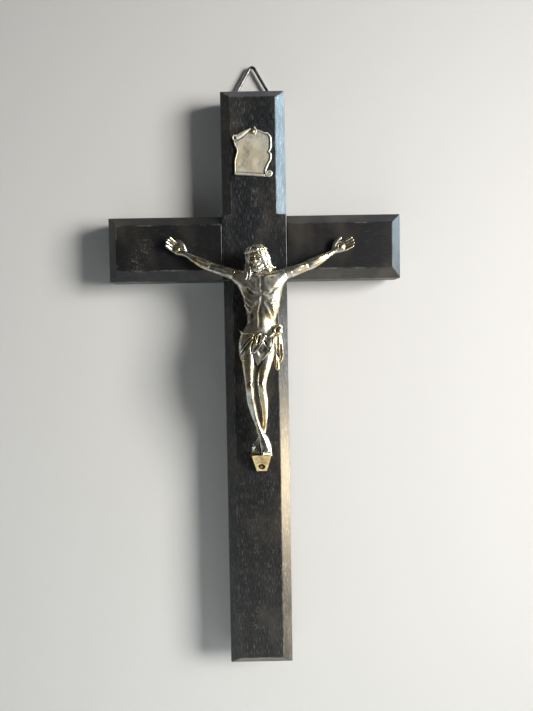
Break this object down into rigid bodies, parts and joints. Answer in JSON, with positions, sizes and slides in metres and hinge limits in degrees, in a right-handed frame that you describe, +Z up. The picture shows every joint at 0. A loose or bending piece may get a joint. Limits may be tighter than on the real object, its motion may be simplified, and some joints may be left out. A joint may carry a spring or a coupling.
{
  "type": "wall crucifix",
  "caption": "Wooden wall cross with a lapped crossing and chamfered edges, a pinned cast metal figure, a bare scroll plate and a swinging hanger ring.",
  "frame": {"origin": "centre of the crossing, on the back face of the crossbar", "axes": "+Z up along the upright, +Y out of the back towards the wall, so the figure faces -Y"},
  "size_m": [0.151, 0.0341, 0.3186],
  "materials": {
    "ebonised_wood": "black stain, fine open grain, satin, worn at the edges",
    "plated_casting": "worn silver plate over brass, dark in the hollows",
    "brass_casting": "worn cast brass",
    "brass_sheet": "dull aged sheet with bright edges",
    "brass_pin": "rubbed bright",
    "strap_brass": "plain strip, tarnished",
    "steel_wire": "dulled wire",
    "steel_screw": "dull"
  },
  "bodies": {
    "cross": {"upright": "ebonised_wood", "crossbar": "ebonised_wood", "figure_body": "plated_casting", "figure_right_arm": "plated_casting", "figure_left_arm": "plated_casting", "footrest": "brass_casting", "right_hand_pin": "brass_pin", "left_hand_pin": "brass_pin", "foot_pin": "brass_pin", "titulus_scroll": "brass_sheet", "titulus_pin": "brass_pin", "hanger_strap": "strap_brass", "hanger_screws": "steel_screw"},
    "ring": {"hanger_ring": "steel_wire"}
  },
  "joints": [
    {"name": "ring_swing", "type": "hinge", "parent": "cross", "child": "ring", "pos_m": [0, 0.00155, 0.0776], "axis": [-1, 0, 0], "range_deg": [-12, 180]}
  ]
}
